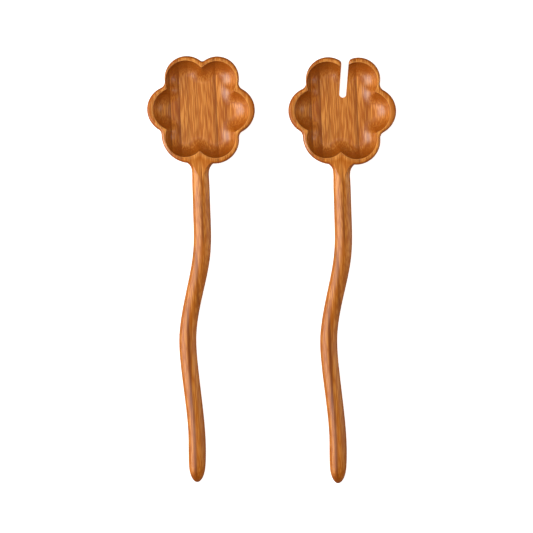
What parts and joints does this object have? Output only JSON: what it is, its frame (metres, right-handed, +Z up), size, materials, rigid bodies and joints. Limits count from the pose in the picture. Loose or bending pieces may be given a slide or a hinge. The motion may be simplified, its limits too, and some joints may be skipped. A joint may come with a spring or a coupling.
{
  "type": "pair of wooden salad servers",
  "caption": "Bamboo salad spoon and slotted fork with flower-shaped bowls and wavy round handles, for tossing and serving salad.",
  "frame": {"origin": "on the table, under the middle of the pair", "axes": "+Z up, +Y from the handles to the heads, +X from the spoon to the fork"},
  "size_m": [0.1755, 0.3014, 0.018],
  "materials": {
    "bamboo_amber": "caramel bamboo, oiled satin, fine straight grain",
    "bamboo_honey": "slightly lighter caramel bamboo, oiled satin, fine straight grain",
    "bamboo_dark": "dark caramel bamboo, oiled satin, dense fibres"
  },
  "bodies": {
    "spoon": {"spoon_strip_01": "bamboo_honey", "spoon_strip_02": "bamboo_amber", "spoon_strip_03": "bamboo_amber", "spoon_strip_04": "bamboo_dark", "spoon_strip_05": "bamboo_honey", "spoon_strip_06": "bamboo_amber", "spoon_strip_07": "bamboo_honey", "spoon_strip_08": "bamboo_amber", "spoon_strip_09": "bamboo_honey", "spoon_strip_10": "bamboo_amber", "spoon_strip_11": "bamboo_honey", "spoon_strip_12": "bamboo_amber"},
    "fork": {"fork_strip_01": "bamboo_honey", "fork_strip_02": "bamboo_amber", "fork_strip_03": "bamboo_amber", "fork_strip_04": "bamboo_dark", "fork_strip_05": "bamboo_honey", "fork_strip_06": "bamboo_amber", "fork_strip_07": "bamboo_honey", "fork_strip_08": "bamboo_amber", "fork_strip_09": "bamboo_honey", "fork_strip_10": "bamboo_amber", "fork_strip_11": "bamboo_honey", "fork_strip_12": "bamboo_amber"}
  },
  "joints": [
    {"name": "fork_lift", "type": "slide", "parent": "spoon", "child": "fork", "axis": [0, 0, 1], "range_m": [0, 0.12]}
  ]
}
